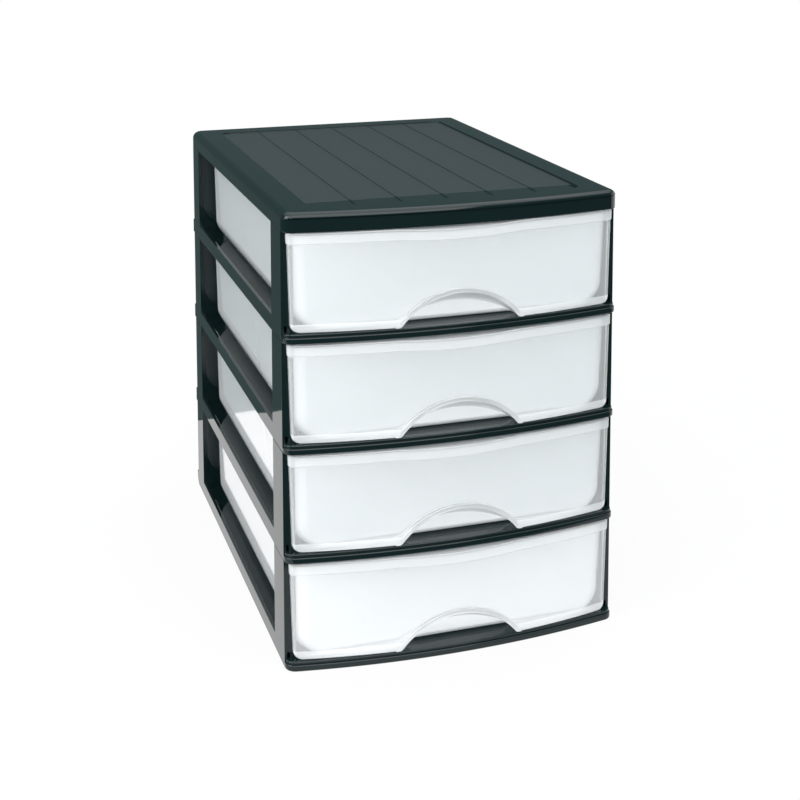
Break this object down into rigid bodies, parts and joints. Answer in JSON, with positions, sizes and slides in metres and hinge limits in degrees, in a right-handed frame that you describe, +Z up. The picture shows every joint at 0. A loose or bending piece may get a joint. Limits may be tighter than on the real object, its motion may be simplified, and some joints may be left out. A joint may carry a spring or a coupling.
{
  "type": "letter tray stack with drawers",
  "caption": "Desktop tower of stacked open frames under a ribbed top cover, with clear sliding drawers for letters.",
  "frame": {"origin": "on the floor, under the middle of the tower's overall footprint", "axes": "+X to the tower's right seen from the front, +Y from the drawer fronts to the rear, +Z up"},
  "size_m": [0.255, 0.371, 0.3335],
  "materials": {
    "frame_plastic": "gloss",
    "cover_plastic": "gloss",
    "clear_tray": "satin",
    "clear_front": "satin"
  },
  "bodies": {
    "tower": {"top_cover": "cover_plastic", "deck_1": "frame_plastic", "deck_2": "frame_plastic", "deck_3": "frame_plastic", "deck_4": "frame_plastic", "side_frame_left_1": "frame_plastic", "side_frame_left_2": "frame_plastic", "side_frame_left_3": "frame_plastic", "side_frame_left_4": "frame_plastic", "side_frame_right_1": "frame_plastic", "side_frame_right_2": "frame_plastic", "side_frame_right_3": "frame_plastic", "side_frame_right_4": "frame_plastic"},
    "drawer_1": {"drawer_tray_1": "clear_tray", "drawer_front_1": "clear_front"},
    "drawer_2": {"drawer_tray_2": "clear_tray", "drawer_front_2": "clear_front"},
    "drawer_3": {"drawer_tray_3": "clear_tray", "drawer_front_3": "clear_front"},
    "drawer_4": {"drawer_tray_4": "clear_tray", "drawer_front_4": "clear_front"}
  },
  "joints": [
    {"name": "drawer_1_slide", "type": "slide", "parent": "tower", "child": "drawer_1", "axis": [0, -1, 0], "range_m": [0, 0.246]},
    {"name": "drawer_2_slide", "type": "slide", "parent": "tower", "child": "drawer_2", "axis": [0, -1, 0], "range_m": [0, 0.246]},
    {"name": "drawer_3_slide", "type": "slide", "parent": "tower", "child": "drawer_3", "axis": [0, -1, 0], "range_m": [0, 0.246]},
    {"name": "drawer_4_slide", "type": "slide", "parent": "tower", "child": "drawer_4", "axis": [0, -1, 0], "range_m": [0, 0.246]}
  ]
}
